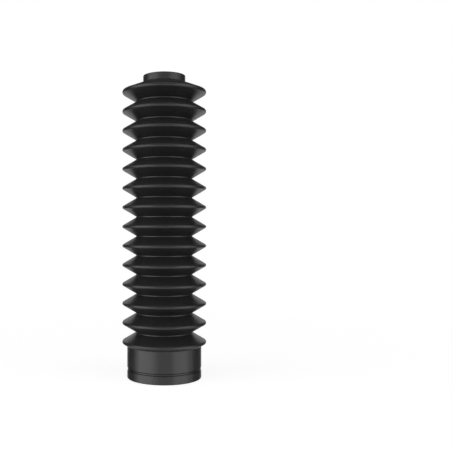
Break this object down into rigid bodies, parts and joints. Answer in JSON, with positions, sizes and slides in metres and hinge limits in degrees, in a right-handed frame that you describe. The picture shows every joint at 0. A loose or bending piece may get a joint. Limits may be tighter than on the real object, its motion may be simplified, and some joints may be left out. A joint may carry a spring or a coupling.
{
  "type": "fork gaiter",
  "caption": "Black rubber bellows gaiter for a telescopic fork leg: round ridges between a narrow top collar and a wide bottom collar, open right through.",
  "frame": {"origin": "centre of the flat bottom rim, on the axis", "axes": "+Z along the axis, from the wide bottom collar up to the narrow top collar; X and Y are any two square directions, as the part is round"},
  "size_m": [0.075, 0.075, 0.2692],
  "materials": {
    "rubber": "satin black moulded rubber"
  },
  "bodies": {
    "root": {"gaiter": "rubber"}
  },
  "joints": []
}
